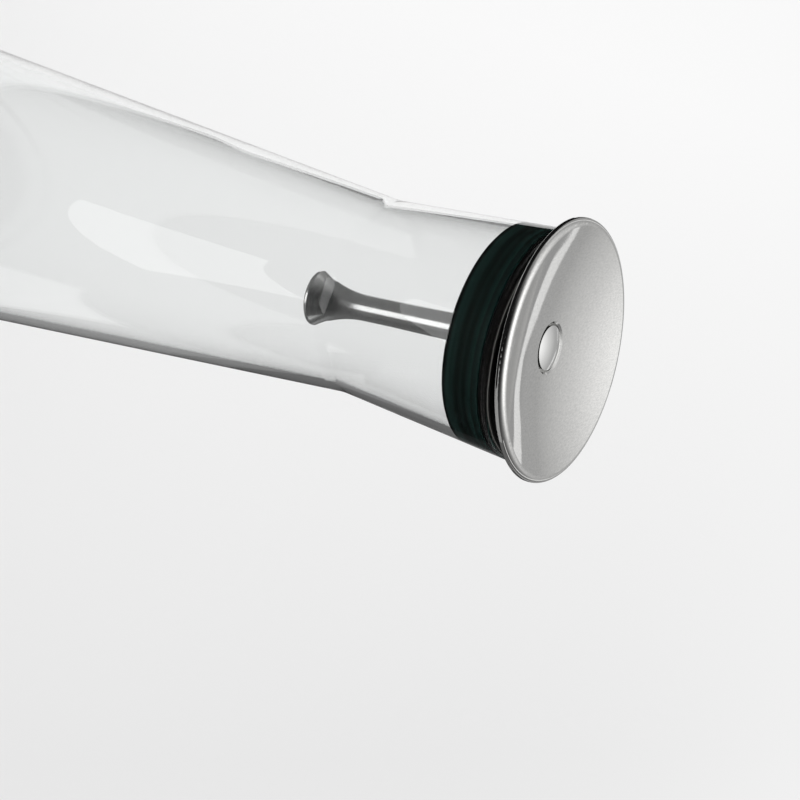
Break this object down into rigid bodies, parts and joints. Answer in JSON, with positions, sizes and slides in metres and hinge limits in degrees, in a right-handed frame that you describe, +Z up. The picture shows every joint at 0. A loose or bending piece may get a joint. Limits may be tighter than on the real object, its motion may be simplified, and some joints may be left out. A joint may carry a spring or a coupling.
{
  "type": "water carafe",
  "caption": "Tall clear glass carafe with a flared neck, a dark silicone stopper sleeve and a steel dish lid that rocks open by a hanging weight when poured.",
  "frame": {"origin": "on the floor under the middle of the base", "axes": "+Z up the carafe's axis, +X towards the edge that the lid rocks on, so the pouring side is -X"},
  "size_m": [0.0942, 0.0942, 0.2967],
  "materials": {
    "clear_glass": "clear polished",
    "silicone": "satin, green-black",
    "black_plastic": "matte",
    "satin_steel": "fine satin face, polished rim",
    "polished_steel": "polished",
    "turned_steel": "turned and lightly polished"
  },
  "bodies": {
    "carafe": {"glass_carafe": "clear_glass"},
    "stopper": {"neck_seal": "silicone", "guide_insert": "black_plastic"},
    "lid": {"lid_dish": "satin_steel", "lid_back": "black_plastic", "cap_button": "polished_steel", "button_gasket": "silicone", "clamp_washer": "turned_steel", "stem": "turned_steel", "stop_washer": "black_plastic", "retaining_clip": "turned_steel", "counterweight": "turned_steel"}
  },
  "joints": [
    {"name": "stopper_lift", "type": "slide", "parent": "carafe", "child": "stopper", "axis": [0, 0, 1], "range_m": [0, 0.09]},
    {"name": "lid_tilt", "type": "hinge", "parent": "stopper", "child": "lid", "pos_m": [0.0331, 0, 0.28845], "axis": [0, 1, 0], "range_deg": [-3.65, 0]}
  ]
}
